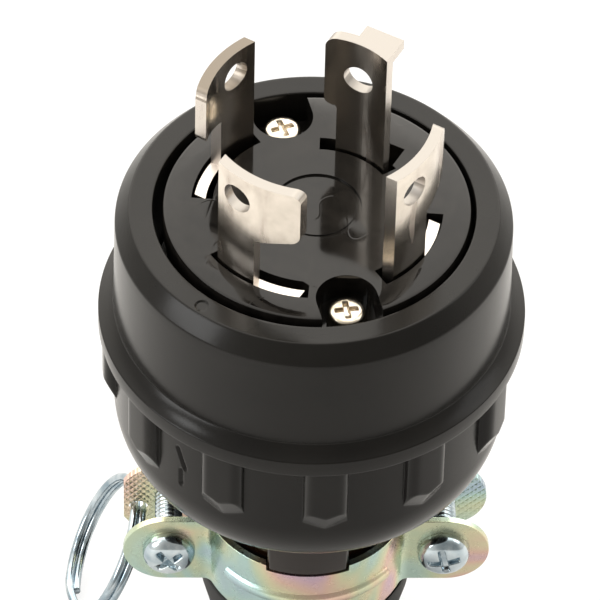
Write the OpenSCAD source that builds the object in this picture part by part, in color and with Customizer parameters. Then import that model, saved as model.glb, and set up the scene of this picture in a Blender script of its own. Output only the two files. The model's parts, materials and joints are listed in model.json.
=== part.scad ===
// Four-pole locking power plug, three curved line blades and an earth blade.
// It stands on its cord end. The origin is the middle of the cord entry, with +Z towards the blades.
// The clamp's two ears lie along X.

/* [Body shell] */
// Height of the shell from its joint with the rear cover up to the face
shell_h = 21; // [18:0.5:26]
// How much wider the wall is at its foot than at the chamfer
shell_draft = 0.25; // [0:0.05:0.6]
// Height of the chamfer round the face
chamfer_h = 2.4; // [1:0.1:4]
// Width of the chamfer, seen from the front
chamfer_w = 1.85; // [0.8:0.05:2.5]
// Radius of the opening that the face insert sits in
opening_r = 21; // [20.5:0.1:22.5]
// How far the grip flange stands out of the rear cover's wall
flange_reach = 2; // [1.6:0.1:3.8]
// Height of the flange's straight edge
flange_h = 2.6; // [1.5:0.1:4]
// Height of the hollow flare from the wall out to the flange
flare_h = 2; // [1:0.1:3]
// Thickness of the ledge that the face insert rests on
ledge_h = 3; // [2:0.25:4]
// Radius of the hole in the ledge
ledge_bore_r = 17.6; // [17:0.1:18.5]
// Length of the skirt that centres the shell in the rear cover
skirt_h = 3; // [2:0.25:5]
// Thickness of the skirt
skirt_t = 2; // [1.4:0.1:2.4]
// Angle of the ejector mark on the face
mark_turn = -130; // [-135:1:-125]
// Radius of the ejector mark
mark_r = 0.85; // [0.5:0.05:1]
// Depth of the ejector mark
mark_depth = 0.2; // [0.1:0.05:0.3]

/* [Rear cover] */
// Height of the rear cover from its underside up to the joint
dome_h = 30.3; // [27:0.1:36]
// Radius of the rear cover's wall, which the shell's foot follows
dome_r = 26.2; // [25.8:0.1:27]
// Length of the straight wall below the joint
dome_straight = 13; // [11.5:0.25:16]
// Radius that turns the wall into the cone
dome_round_r = 12; // [8:0.5:14]
// Angle between the cone and the axis
dome_slope = 41; // [36:0.5:44]
// Wall thickness
dome_wall = 2.4; // [1.8:0.1:3]
// Radius of the neck
neck_r = 12.6; // [12:0.1:12.9]
// Radius of the neck's bore
neck_bore_r = 10.4; // [9.5:0.1:11]
// Length of the neck below the cover
neck_h = 6; // [4.5:0.1:10]

/* [Grip ribs] */
// Number of ribs
rib_count = 12; // [8:1:14]
// Width of a rib
rib_w = 5.9; // [4:0.1:7]
// How far the ribs' outer faces stand out of the wall
rib_rise = 1.5; // [1:0.1:1.8]
// Height of a rib down to its point
rib_h = 13.2; // [9:0.1:14]
// Height of the point
rib_point_h = 1.3; // [0.6:0.1:2.5]
// Height over which the foot of a rib runs back to the wall
rib_run_h = 3; // [1:0.1:4]
// Radius along a rib's edges
rib_round_r = 0.9; // [0.4:0.1:1.2]
// Angle of the front rib from the middle of the front
rib_turn = 3.5; // [-15:0.5:15]

/* [Face insert] */
// Height of the insert from the ledge up to its face
insert_h = 16.3; // [14:0.1:20]
// Radius of the face
insert_r = 20.1; // [19.8:0.05:20.4]
// Depth of the face's rim
insert_rim_h = 3.4; // [2:0.1:5]
// Step in from the rim to the insert's body
insert_step = 0.5; // [0.2:0.1:1]
// Bevel round the face
insert_bevel = 0.5; // [0.2:0.05:0.8]
// How far the insert's face stands proud of the shell's
insert_proud = 0.3; // [0.1:0.05:0.6]
// How far the insert has settled off centre in the opening
insert_play = 0.35; // [0:0.05:0.5]
// Angle of the earth blade round the axis
insert_turn = 58.5; // [0:0.5:90]
// Radius of the round field in the middle of the face
field_r = 5.8; // [4:0.1:7]
// Depth of the round field
field_depth = 0.3; // [0.1:0.05:0.6]
// Clear gap on the inner side of a blade in its slot
slot_gap_in = 1; // [0.4:0.1:1.4]
// Clear gap on the outer side of a blade in its slot
slot_gap_out = 0.3; // [0.2:0.05:0.5]
// Clear angle at each end of a slot
slot_end = 2; // [1:0.5:3]

/* [Line blades] */
// Thickness of the blades' sheet
blade_t = 1.5; // [1.2:0.1:1.8]
// Inner radius of the line blades
line_r = 14.6; // [14.2:0.1:15]
// Width of a line blade across its two ends
line_w = 12.1; // [11:0.1:13]
// Width of its neck
line_neck_w = 6.1; // [5:0.1:7]
// Height above the face
line_h = 18.2; // [16:0.1:20]
// Height of the clear gap under the hook, beside the neck
hook_gap_h = 8; // [7:0.1:9]
// Rise of the hook's underside towards its tip
hook_rise = 1.5; // [0:0.1:2]
// Radius of the hook's corners
hook_round_r = 1.4; // [0.8:0.1:2]
// Depth of the blades' shoulders below the shell's face
shoulder_depth = 0.3; // [0.1:0.1:1]
// Radius of the hole near the tip
blade_hole_r = 2.1; // [1.5:0.1:2.4]
// Distance from a line blade's hole to its tip
line_hole_drop = 4.1; // [3.5:0.1:5]
// Place of the hole across a line blade, from its middle
line_hole_x = -2.8; // [-3.2:0.1:-2]

/* [Earth blade] */
// Inner radius of the earth blade
earth_r = 10.6; // [10.2:0.1:11]
// Width of the earth blade across its two ends
earth_w = 9; // [8:0.1:9.5]
// Width of its neck
earth_neck_w = 7.4; // [6:0.1:8]
// Height above the face
earth_h = 20.5; // [18.5:0.1:22]
// Distance from its hole to its tip
earth_hole_drop = 6.3; // [5:0.1:7]
// Place of the hole across the blade, from its middle
earth_hole_x = 0; // [-1.5:0.1:1]
// Angle of the earth blade past its place opposite a line blade
earth_shift = 1.8; // [0:0.1:3]
// Width of the lip bent outwards at the tip
lip_w = 5.4; // [4:0.1:6.5]
// Reach of the lip from the blade's outer face
lip_reach = 2.1; // [1.5:0.1:2.5]
// Clear gap round the lip in its slot
lip_gap = 0.5; // [0.3:0.1:0.8]

/* [Terminals] */
// Height of the terminal base under the insert
base_h = 16.4; // [15:0.1:18]
// Radius of the terminal base
base_r = 17; // [16.4:0.1:17.2]
// Thickness of the base's roof, which traps the blades
roof_h = 4.4; // [3.5:0.1:6]
// Height of the blades' collars, let into the roof
collar_h = 2.2; // [1.5:0.1:3]
// Reach of a collar past each end of the blade
collar_reach = 1; // [0.6:0.1:1.2]
// Width of a blade's tail
tail_w = 8; // [7:0.1:9]
// Clear height between a tail's end and the foot of the base
tail_drop = 1; // [0.5:0.1:2]
// Width of a terminal pocket
pocket_w = 9.4; // [9:0.1:10]
// Radius of a terminal screw's thread
term_screw_r = 1.75; // [1.5:0.05:2]
// Radius of a terminal screw's head
term_head_r = 3.2; // [2.8:0.1:3.6]
// Height of a terminal screw's head
term_head_h = 2.1; // [1.6:0.1:2.6]
// Length of a terminal screw's end past the blade's tail
term_screw_end = 1; // [0.5:0.1:1.6]
// Thickness of a wire plate
plate_t = 1; // [0.8:0.1:1.4]
// Side of a square wire plate
plate_w = 7.4; // [6.6:0.1:8]
// Radius of the base screws' thread
base_screw_r = 1.3; // [1:0.05:1.6]
// Radius of the base screws' heads
base_head_r = 2.5; // [2:0.1:2.8]
// Height of the base screws' heads
base_head_h = 1.6; // [1.2:0.1:2]
// Depth of the base screws' thread in the insert
base_screw_bite = 5; // [4:0.25:7]
// Thickness of the floor under the roof that the base screws' heads pull on
base_seat_h = 3; // [2:0.25:4]
// Distance of the base screws from the axis
base_screw_place = 6.2; // [5:0.1:6.8]

/* [Face screws] */
// Distance of the face screws from the axis
face_screw_place = 16.8; // [16.4:0.1:17]
// Radius of the thread
face_screw_r = 1.45; // [1.3:0.05:1.6]
// Radius of the head
face_head_r = 2.55; // [2.4:0.05:2.9]
// Height of the head
face_head_h = 2; // [1.5:0.1:2.4]
// Depth of the heads' seats below the shell's face
seat_depth = 3.8; // [3:0.1:5]
// Half width of the open recess round a head
recess_r = 4; // [3.6:0.1:4.2]
// Length of the screws under the head
face_screw_len = 24; // [22:0.5:25]
// Clearance of the insert's screw holes
screw_clear = 0.45; // [0.35:0.05:0.6]
// Radius of the screw bosses
boss_r = 3.6; // [3.3:0.1:3.8]
// Depth of the rear bosses' ends below the joint
boss_drop = 1.4; // [1:0.1:2]
// Radius of the brass threaded inserts
nut_r = 2.4; // [2.2:0.1:2.6]
// Length of the brass threaded inserts
nut_h = 7; // [5:0.5:8]

/* [Cord bush] */
// Radius of the bush inside the clamp
bush_r = 13.2; // [13:0.1:13.6]
// Radius of the bush's flange under the clamp
bush_flange_r = 14.4; // [14.3:0.1:15.5]
// Height of the bush below the clamp
bush_tail_h = 16; // [15:0.1:20]
// Radius of the bush at its foot
bush_foot_r = 11.6; // [10.5:0.1:13]
// Height of the flange's straight edge
bush_flange_h = 3; // [1.5:0.1:5]
// Radius of the cord's bore
cord_r = 7; // [5:0.1:8]
// Thickness of the collar inside the cover
bush_collar_h = 2.4; // [1.6:0.1:4]
// Reach of the collar past the neck's bore
bush_collar_reach = 2; // [1.4:0.1:2.4]

/* [Cord clamp] */
// Thickness of the clamp's sheet
sheet_t = 1; // [0.8:0.05:1.2]
// Height of the clamp
clamp_h = 11.7; // [10:0.1:13]
// Distance of the front ears' outer faces from the axis
front_ear_y = 5.3; // [4.5:0.1:6.5]
// Distance of the rear ears' outer faces from the axis
rear_ear_y = 5.5; // [4.5:0.1:6.5]
// Distance of an ear's end from the axis
ear_reach = 25; // [24.5:0.1:26.5]
// Inner radius of the bends
bend_r = 1.5; // [1:0.1:2]
// Distance of the clamp screws from the axis
clamp_screw_place = 18.8; // [18.4:0.1:19.4]
// Radius of the clamp screws' thread
clamp_screw_r = 1.9; // [1.6:0.05:2.1]
// Radius of the clamp screws' heads
clamp_head_r = 3.6; // [3.3:0.1:3.9]
// Height of the clamp screws' heads
clamp_head_h = 2.4; // [2:0.1:2.8]
// Length of the clamp screws' ends past the tapped collars
clamp_screw_end = 1.6; // [0.5:0.1:3]
// Reach of the tapped collars behind the rear ears
tap_h = 1.6; // [1:0.1:2]
// Wall of the tapped collars
tap_wall = 0.9; // [0.6:0.1:1]
// Width of the notch that fits over the neck's key
key_w = 11.2; // [6:0.1:12]
// Depth of the notch
key_depth = 1; // [0.6:0.1:2]
// Angle that the pressed bead covers
bead_angle = 100; // [60:5:110]
// Radius of the bead's section
bead_r = 1.3; // [0.8:0.1:1.6]
// How far the bead stands out of the sheet
bead_rise = 0.6; // [0.3:0.1:0.8]

/* [Split ring] */
// Mean radius of the ring
ring_r = 10.2; // [8:0.1:10.5]
// Radius of its wire
wire_r = 0.6; // [0.4:0.05:0.65]
// Angle at which the ring leans out from hanging straight down
ring_lean = 27; // [22:1:60]
// Distance of the ring's eye from the axis
eye_place = 23; // [22.8:0.1:23.4]
// Height of the eye below the middle of the clamp
eye_drop = 2.5; // [1.5:0.1:2.8]
// Radius of the eye
eye_r = 1.45; // [1.35:0.05:1.6]
// Radius of the larger ear that carries the eye
lobe_r = 7.2; // [7:0.1:7.6]

/* [Hidden] */
$fn = 96;

// Overlap that joins or cuts solids cleanly
eps = 0.01;
// How far a cut runs past the face that it opens
over = 1;
// Radial gap of parts that slide into each other
slide_gap = 0.15;
// Radial gap of a screw in a clear hole
hole_gap = 0.2;
// Gap between the terminal base and the bosses or screw heads beside it
base_gap = 0.3;

// Heights, from the cord entry up to the blades' side
clamp_z = bush_tail_h;
clamp_mid_z = clamp_z + clamp_h / 2;
clamp_top_z = clamp_z + clamp_h;
neck_z = clamp_top_z - key_depth;
dome_z = neck_z + neck_h;
joint_z = dome_z + dome_h;
face_z = joint_z + shell_h;
insert_z = face_z + insert_proud - insert_h;
ledge_z = insert_z - ledge_h;
insert_top_z = insert_z + insert_h;
boss_z = joint_z - boss_drop;
seat_z = face_z - seat_depth;
base_z = insert_z - base_h;
roof_z = insert_z - roof_h;
term_z = (base_z + tail_drop + roof_z) / 2;
shoulder_z = face_z - shoulder_depth;
floor_z = dome_z + dome_wall;

// Radii that follow the rear cover's wall
shell_r = dome_r - shell_draft;
flange_r = dome_r + flange_reach;
rib_r = dome_r + rib_rise;

// Angles of the blades and of the face screws round the axis
blade_angles = [for (i = [1:3]) insert_turn + 90 * i];
earth_angle = insert_turn + earth_shift;
screw_angles = [insert_turn + 45, insert_turn + 225];

// Places children at a distance and an angle round the axis, turned to face outwards
module round_axis(a, r = 0) {
    rotate([0, 0, a]) translate([r, 0, 0]) children();
}

// Moves what sits in the insert off centre with it
module settled() {
    translate([insert_play, 0, 0]) children();
}

// A flat wedge from angle a0 to a1, long enough for every ring here
module wedge(a0, a1) {
    reach = 60;
    m = (a0 + a1) / 2;
    polygon([[0, 0], reach * [cos(a0), sin(a0)], reach * [cos(m), sin(m)], reach * [cos(a1), sin(a1)]]);
}

// Part of a flat ring between two angles
module ring_part(r_in, r_out, a0, a1) {
    intersection() {
        difference() {
            circle(r_out);
            circle(r_in);
        }
        wedge(a0, a1);
    }
}

// ---- Shell ----

module shell_profile() {
    foot_r = shell_r + shell_draft;
    flange_top = joint_z + flange_h;
    flare_top = flange_top + flare_h;
    face_r = shell_r - chamfer_w;
    skirt_r = dome_r - dome_wall - slide_gap;
    edge = 0.25;
    flare_w = flange_r - foot_r;
    difference() {
        union() {
            polygon(concat(
                [[opening_r - eps, joint_z], [flange_r - edge, joint_z], [flange_r, joint_z + edge],
                 [flange_r, flange_top - edge / 2]],
                [for (i = [1:6]) [flange_r - flare_w * sin(15 * i), flange_top + flare_h * (1 - cos(15 * i))]],
                [[shell_r, face_z - chamfer_h], [face_r, face_z], [opening_r + edge, face_z],
                 [opening_r, face_z - edge], [opening_r, insert_z], [opening_r - eps, insert_z]]));
            translate([ledge_bore_r, ledge_z]) square([opening_r - ledge_bore_r + 1, ledge_h]);
            translate([skirt_r - skirt_t, joint_z - skirt_h]) square([skirt_t, skirt_h + 2]);
        }
        // Room under the ledge
        translate([0, joint_z - skirt_h - over])
            square([skirt_r - skirt_t, ledge_z - joint_z + skirt_h + over]);
    }
}

module body_shell() {
    color("#26282a") difference() {
        union() {
            rotate_extrude() shell_profile();
            for (a = screw_angles) intersection() {
                round_axis(a, face_screw_place) translate([0, 0, boss_z])
                    cylinder(r = boss_r, h = insert_z - boss_z);
                translate([0, 0, boss_z]) cylinder(r = opening_r + 0.5, h = insert_z - boss_z);
            }
        }
        for (a = screw_angles) round_axis(a, face_screw_place) translate([0, 0, boss_z - over])
            cylinder(r = face_screw_r + hole_gap, h = insert_z - boss_z + 2 * over);
        // Shallow ejector mark, midway across the face
        round_axis(mark_turn, (opening_r + shell_r - chamfer_w) / 2 + hole_gap)
            translate([0, 0, face_z - mark_depth]) cylinder(r = mark_r, h = over);
    }
}

// ---- Rear cover ----

// Half section of the cover's outside, or of its hollow when inset by the wall
module dome_profile(inset, z0) {
    r = dome_r - inset;
    rr = dome_round_r - inset;
    c = [dome_r - dome_round_r, joint_z - dome_straight];
    p = c + rr * [cos(dome_slope), -sin(dome_slope)];
    foot_r = p[0] - (p[1] - z0) * tan(dome_slope);
    polygon([[0, z0], [foot_r, z0], p, c, [0, c[1]]]);
    intersection() {
        translate(c) circle(rr);
        translate([0, z0]) square([dome_r, joint_z - z0]);
    }
    translate([0, c[1]]) square([r, dome_straight]);
}

// One straight rib: rounded along its edges, with a pointed foot that runs back to the wall
module rib() {
    depth = rib_r - dome_r + dome_wall / 2;
    half = rib_w / 2;
    foot_z = joint_z - rib_h;
    // Depth that the rib's foot runs back, to just inside the wall
    run_w = rib_r - dome_r + 0.3;
    intersection() {
        translate([rib_r - depth, 0, foot_z - 1]) linear_extrude(rib_h + 1) {
            translate([0, -half]) square([depth - rib_round_r, rib_w]);
            translate([0, -half + rib_round_r]) square([depth, rib_w - 2 * rib_round_r]);
            for (s = [-1, 1]) translate([depth - rib_round_r, s * (half - rib_round_r)])
                circle(rib_round_r);
        }
        translate([rib_r + 1, 0, 0]) rotate([0, -90, 0]) linear_extrude(depth + 2)
            polygon([[joint_z + 1, -rib_w], [joint_z + 1, rib_w], [foot_z + 2 * rib_point_h, rib_w],
                     [foot_z, 0], [foot_z + 2 * rib_point_h, -rib_w]]);
        rotate([90, 0, 0]) translate([0, 0, -half - 1]) linear_extrude(rib_w + 2)
            polygon([[0, joint_z + 1], [rib_r + 1, joint_z + 1], [rib_r + 1, foot_z + rib_run_h],
                     [rib_r, foot_z + rib_run_h], [rib_r - 2 * run_w, foot_z - rib_run_h],
                     [0, foot_z - rib_run_h]]);
    }
}

module rear_cover() {
    key_r = bush_r + sheet_t * 0.8;
    color("#232527") difference() {
        union() {
            difference() {
                rotate_extrude() dome_profile(0, dome_z);
                difference() {
                    translate([0, 0, eps]) rotate_extrude() dome_profile(dome_wall, floor_z);
                    for (a = screw_angles) round_axis(a, face_screw_place) translate([0, 0, dome_z])
                        cylinder(r = boss_r, h = boss_z - dome_z);
                }
            }
            for (i = [0:rib_count - 1]) rotate([0, 0, rib_turn - 90 + 360 * i / rib_count]) rib();
            translate([0, 0, neck_z]) cylinder(r = neck_r, h = neck_h + 1);
            // Keys that the clamp's notches fit over
            intersection() {
                translate([0, 0, neck_z]) cylinder(r = key_r, h = neck_h + 1);
                translate([-key_w / 2 + slide_gap, -key_r, neck_z])
                    cube([key_w - 2 * slide_gap, 2 * key_r, neck_h + 1]);
            }
        }
        translate([0, 0, neck_z - over]) cylinder(r = neck_bore_r, h = floor_z - neck_z + 2 * over);
        for (a = screw_angles) round_axis(a, face_screw_place) translate([0, 0, boss_z - nut_h - 2])
            cylinder(r = nut_r, h = nut_h + 3);
    }
}

// ---- Face insert ----

// Half angle that a width takes up on a radius
function half_angle(w, r) = asin(w / 2 / r);

module line_slot() {
    a = half_angle(line_w, line_r) + slot_end;
    linear_extrude(insert_h + 2 * over)
        ring_part(line_r - slot_gap_in, line_r + blade_t + slot_gap_out, -a, a);
}

// The earth blade's slot, with room for the lip to pass
module earth_slot() {
    a = half_angle(earth_w, earth_r) + slot_end;
    linear_extrude(insert_h + 2 * over) {
        ring_part(earth_r - slot_gap_out, earth_r + blade_t + slot_gap_out, -a, a);
        translate([earth_r, -earth_w / 2 - lip_gap])
            square([blade_t + lip_reach + lip_gap, lip_w + 2 * lip_gap]);
    }
}

module face_insert() {
    bevel = insert_bevel;
    top = insert_top_z;
    body_r = insert_r - insert_step;
    color("#1b1c1d") settled() difference() {
        rotate_extrude() polygon([[0, insert_z], [body_r, insert_z], [body_r, top - insert_rim_h],
                                  [insert_r, top - insert_rim_h], [insert_r, top - bevel],
                                  [insert_r - bevel * 0.3, top - bevel * 0.3], [insert_r - bevel, top], [0, top]]);
        translate([0, 0, top - field_depth]) difference() {
            cylinder(r = field_r, h = 1);
            translate([0, 0, -eps]) cylinder(r = field_r - 0.7, h = field_depth * 0.6);
        }
        for (a = blade_angles) rotate([0, 0, a]) translate([0, 0, insert_z - over]) line_slot();
        rotate([0, 0, earth_angle]) translate([0, 0, insert_z - over]) earth_slot();
        for (a = screw_angles) translate([-insert_play, 0, 0]) round_axis(a, face_screw_place) {
            translate([0, 0, seat_z]) linear_extrude(seat_depth + over) {
                circle(recess_r);
                translate([0, -recess_r]) square([recess_r * 2, recess_r * 2]);
            }
            translate([0, 0, insert_z - over]) cylinder(r = face_screw_r + screw_clear, h = insert_h);
        }
        // Blind holes for the base screws
        for (a = screw_angles) round_axis(a, base_screw_place) translate([0, 0, insert_z - over])
            cylinder(r = base_screw_r, h = base_screw_bite + 2.5 * over);
    }
}

// ---- Blades ----

// Side view of a blade: x runs counter-clockwise round the axis, y up from the shoulder
module blade_outline(w, neck_w, h, hole_x, hole_drop) {
    r = hook_round_r;
    neck_x = -w / 2 + neck_w;
    up = h + shoulder_depth;
    gap = hook_gap_h + shoulder_depth;
    rise = hook_rise * (w - neck_w) / (line_w - line_neck_w);
    difference() {
        union() {
            // Neck
            translate([-w / 2, -1]) square([neck_w, up + 1]);
            // Hook, with its rounded corners
            polygon([[neck_x - 1, gap], [neck_x, gap], [w / 2 - r, gap + rise], [w / 2, gap + rise + r],
                     [w / 2, up - r], [w / 2 - r, up], [neck_x - 1, up]]);
            translate([w / 2 - r, up - r]) circle(r);
            translate([w / 2 - r, gap + rise + r]) circle(r);
        }
        translate([hole_x, up - hole_drop]) circle(blade_hole_r);
    }
}

// Lower part of a blade in side view: shoulder, trapped collar and tail with its tapped hole
module tail_outline(w) {
    collar_w = w + 2 * collar_reach;
    tail_z = base_z + tail_drop - shoulder_z;
    difference() {
        union() {
            translate([-w / 2, insert_z - shoulder_z - 1]) square([w, shoulder_z - insert_z + 1]);
            translate([-collar_w / 2, insert_z - collar_h - shoulder_z]) square([collar_w, collar_h]);
            translate([-tail_w / 2, tail_z]) square([tail_w, insert_z - shoulder_z - tail_z]);
        }
        translate([0, term_z - shoulder_z]) circle(term_screw_r);
    }
}

// A blade: its outline carried outwards and bent to the radius, which leaves a curved sheet
module blade(r, w, neck_w, h, hole_x, hole_drop) {
    intersection() {
        translate([0, 0, base_z]) difference() {
            cylinder(r = r + blade_t, h = face_z + h + 1 - base_z);
            translate([0, 0, -1]) cylinder(r = r, h = face_z + h + 3 - base_z);
        }
        translate([0, 0, shoulder_z]) rotate([90, 0, 90]) linear_extrude(r + blade_t + 1) {
            blade_outline(w, neck_w, h, hole_x, hole_drop);
            tail_outline(w);
        }
    }
}

module line_blade(i) {
    color("#c9c3ba") settled() rotate([0, 0, blade_angles[i]])
        blade(line_r, line_w, line_neck_w, line_h, line_hole_x, line_hole_drop);
}

module blade_x() line_blade(0);
module blade_y() line_blade(1);
module blade_z() line_blade(2);

module earth_blade() {
    color("#c4beb4") settled() rotate([0, 0, earth_angle]) {
        blade(earth_r, earth_w, earth_neck_w, earth_h, earth_hole_x, earth_hole_drop);
        // Lip bent outwards at the tip
        translate([0, 0, face_z + earth_h - blade_t]) linear_extrude(blade_t) difference() {
            translate([earth_r - 1, -earth_w / 2]) square([1 + blade_t + lip_reach, lip_w]);
            circle(earth_r + blade_t / 2);
        }
    }
}

// ---- Terminals ----

// Room for a terminal, from the back of the blade's tail outwards
module terminal_pocket(r) {
    translate([r - slide_gap, -pocket_w / 2, base_z - over]) cube([base_r, pocket_w, roof_z - base_z + over]);
    // Room behind the tail for the end of the terminal screw
    translate([r - term_screw_end - base_gap, 0, term_z]) rotate([0, 90, 0])
        cylinder(r = term_screw_r + hole_gap, h = term_screw_end + over);
}

// Slot for a blade's tail, with the collar's recess in the roof above it
module roof_slot(r, w) {
    a = half_angle(tail_w, r) + slot_end / 2;
    c = half_angle(w + 2 * collar_reach, r) + slot_end / 2;
    translate([0, 0, base_z - over]) linear_extrude(base_h + 2 * over)
        ring_part(r - slide_gap, r + blade_t + slide_gap, -a, a);
    translate([0, 0, insert_z - collar_h]) linear_extrude(collar_h + over)
        ring_part(r - slide_gap, r + blade_t + slide_gap, -c, c);
}

module terminal_base() {
    color("#4a2f22") settled() difference() {
        translate([0, 0, base_z]) cylinder(r = base_r, h = base_h);
        for (a = blade_angles) rotate([0, 0, a]) {
            terminal_pocket(line_r);
            roof_slot(line_r, line_w);
        }
        rotate([0, 0, earth_angle]) {
            terminal_pocket(earth_r);
            roof_slot(earth_r, earth_w);
        }
        for (a = screw_angles) translate([-insert_play, 0, 0]) round_axis(a, face_screw_place)
            translate([0, 0, base_z - over]) cylinder(r = boss_r + 2 * base_gap, h = base_h + 2 * over);
        for (a = screw_angles) round_axis(a, base_screw_place) translate([0, 0, base_z - over]) {
            cylinder(r = base_screw_r + hole_gap, h = base_h + 2 * over);
            cylinder(r = base_head_r + base_gap, h = roof_z - base_seat_h - base_z + over);
        }
    }
}

// Cross recess of a driver, cut down from z = 0
module cross_recess(size, depth) {
    arm_w = size * 0.4;
    for (s = [0, 90]) rotate([0, 0, s]) translate([-size, -arm_w / 2, -depth])
        cube([size * 2, arm_w, depth + over]);
}

// A pan head screw: thread down from z = 0, head above
module pan_screw(r, len, head_r, head_h) {
    crown = head_h * 0.35;
    difference() {
        union() {
            translate([0, 0, -len]) cylinder(r = r, h = len + 0.2);
            rotate_extrude() intersection() {
                union() {
                    square([head_r, head_h - crown]);
                    translate([0, head_h - crown]) polygon([[0, 0], [head_r, 0], [head_r * 0.88, crown * 0.6],
                                                            [head_r * 0.6, crown], [0, crown]]);
                }
                square([head_r, head_h]);
            }
        }
        translate([0, 0, head_h]) cross_recess(head_r * 0.55, head_h * 0.55);
    }
}

// Terminal screw, lying outwards through the wire plate and the blade's tail
module terminal_screw(r) {
    round_axis(0, r + blade_t + plate_t + slide_gap) translate([0, 0, term_z]) rotate([0, 90, 0])
        pan_screw(term_screw_r, blade_t + plate_t + slide_gap + term_screw_end, term_head_r, term_head_h);
}

// Square plate that presses the wire on the tail
module wire_plate(r) {
    translate([r + blade_t + slide_gap, -plate_w / 2, term_z - plate_w / 2]) difference() {
        cube([plate_t, plate_w, plate_w]);
        translate([-over, plate_w / 2, plate_w / 2]) rotate([0, 90, 0])
            cylinder(r = term_screw_r, h = plate_t + 2 * over);
    }
}

module line_terminal_screws() {
    color("#cfcabd") settled() for (a = blade_angles) rotate([0, 0, a]) terminal_screw(line_r);
}

module earth_terminal_screw() {
    color("#4f7a4a") settled() rotate([0, 0, earth_angle]) terminal_screw(earth_r);
}

module line_wire_plates() {
    color("#b9a36a") settled() for (a = blade_angles) rotate([0, 0, a]) wire_plate(line_r);
}

module earth_wire_plate() {
    color("#b9a36a") settled() rotate([0, 0, earth_angle]) wire_plate(earth_r);
}

module base_screws() {
    color("#b7b5ad") settled() for (a = screw_angles) round_axis(a, base_screw_place)
        translate([0, 0, roof_z - base_seat_h]) rotate([180, 0, 0])
            pan_screw(base_screw_r, base_seat_h + roof_h + base_screw_bite, base_head_r, base_head_h);
}

// ---- Assembly screws ----

module face_screws() {
    color("#d8d2c2") for (a = screw_angles) round_axis(a, face_screw_place) translate([0, 0, seat_z])
        pan_screw(face_screw_r, face_screw_len, face_head_r, face_head_h);
}

module threaded_inserts() {
    color("#c8a552") for (a = screw_angles) round_axis(a, face_screw_place) translate([0, 0, boss_z - nut_h])
        difference() {
            cylinder(r = nut_r, h = nut_h);
            translate([0, 0, -over]) cylinder(r = face_screw_r, h = nut_h + 2 * over);
        }
}

// ---- Cord bush ----

module cord_bush() {
    edge = 0.6;
    waist_r = neck_bore_r - slide_gap;
    collar_r = neck_bore_r + bush_collar_reach;
    color("#1a1a1a") rotate_extrude() polygon([
        [cord_r, 0], [bush_foot_r - edge, 0], [bush_foot_r, edge], [bush_flange_r, clamp_z - bush_flange_h],
        [bush_flange_r, clamp_z - edge / 2], [bush_flange_r - edge / 2, clamp_z],
        [bush_r, clamp_z], [bush_r, neck_z],
        [waist_r, neck_z], [waist_r, floor_z], [collar_r, floor_z], [collar_r, floor_z + bush_collar_h],
        [cord_r, floor_z + bush_collar_h]]);
}

// ---- Cord clamp ----

// Plan of one clamp half: an arc round the bush, two bends and two flat ears.
// ear_y is how far the ears' outer faces lie from the axis, towards -Y.
module clamp_plan(ear_y) {
    out_r = bush_r + sheet_t;
    c_y = ear_y + bend_r;
    c_x = sqrt(pow(out_r + bend_r, 2) - c_y * c_y);
    a = atan2(c_y, c_x);
    // The arc laps a little over the bends
    ring_part(bush_r, out_r, a - 180 - 0.3, -a + 0.3);
    for (s = [0, 1]) mirror([s, 0]) {
        translate([c_x, -c_y]) ring_part(bend_r, bend_r + sheet_t, 90, 180 - a);
        translate([c_x - eps, -ear_y]) square([ear_reach - c_x + eps, sheet_t]);
    }
}

// Front view of a clamp half, with rounded ends. lobe is the radius of the end at -X.
module clamp_face(lobe) {
    end_r = clamp_h / 2;
    reach = ear_reach - end_r;
    square([reach * 2, clamp_h], center = true);
    translate([reach, 0]) circle(end_r);
    translate([-reach, 0]) circle(end_r);
    if (lobe > end_r) translate([-eye_place + eye_r + 2.9, -eye_drop / 3]) circle(lobe);
}

// One clamp half, with its ears towards -Y
module clamp_half(ear_y, lobe) {
    tall = max(lobe * 2, clamp_h) + 4;
    difference() {
        intersection() {
            translate([0, 0, clamp_mid_z - tall / 2]) linear_extrude(tall) clamp_plan(ear_y);
            translate([0, 0, clamp_mid_z]) rotate([90, 0, 0]) linear_extrude(60, center = true)
                clamp_face(lobe);
        }
        // Notch over the neck's key
        translate([-key_w / 2, -bush_r - sheet_t - over, clamp_top_z - key_depth])
            cube([key_w, bush_r, key_depth + over]);
        for (s = [-1, 1]) translate([s * clamp_screw_place, 0, clamp_mid_z]) rotate([90, 0, 0])
            cylinder(r = clamp_screw_r + hole_gap, h = 60, center = true);
    }
}

// Stiffening bead pressed outwards, with its groove inside
module bead(groove) {
    r = groove ? bead_r - bead_rise : bead_r;
    c = bush_r + sheet_t + bead_rise - bead_r;
    a = bead_angle / 2;
    translate([0, 0, clamp_mid_z]) rotate([0, 0, -90 - a]) rotate_extrude(angle = bead_angle) intersection() {
        translate([c, 0]) circle(r);
        translate([groove ? 0 : bush_r + sheet_t / 2, -bead_r]) square([bush_r * 2, bead_r * 2]);
    }
}

module clamp_front() {
    color("#b9c4bd") difference() {
        union() {
            clamp_half(front_ear_y, 0);
            bead(false);
        }
        intersection() {
            bead(true);
            translate([0, 0, clamp_z]) cylinder(r = bush_r + 0.5, h = clamp_h);
        }
    }
}

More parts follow.
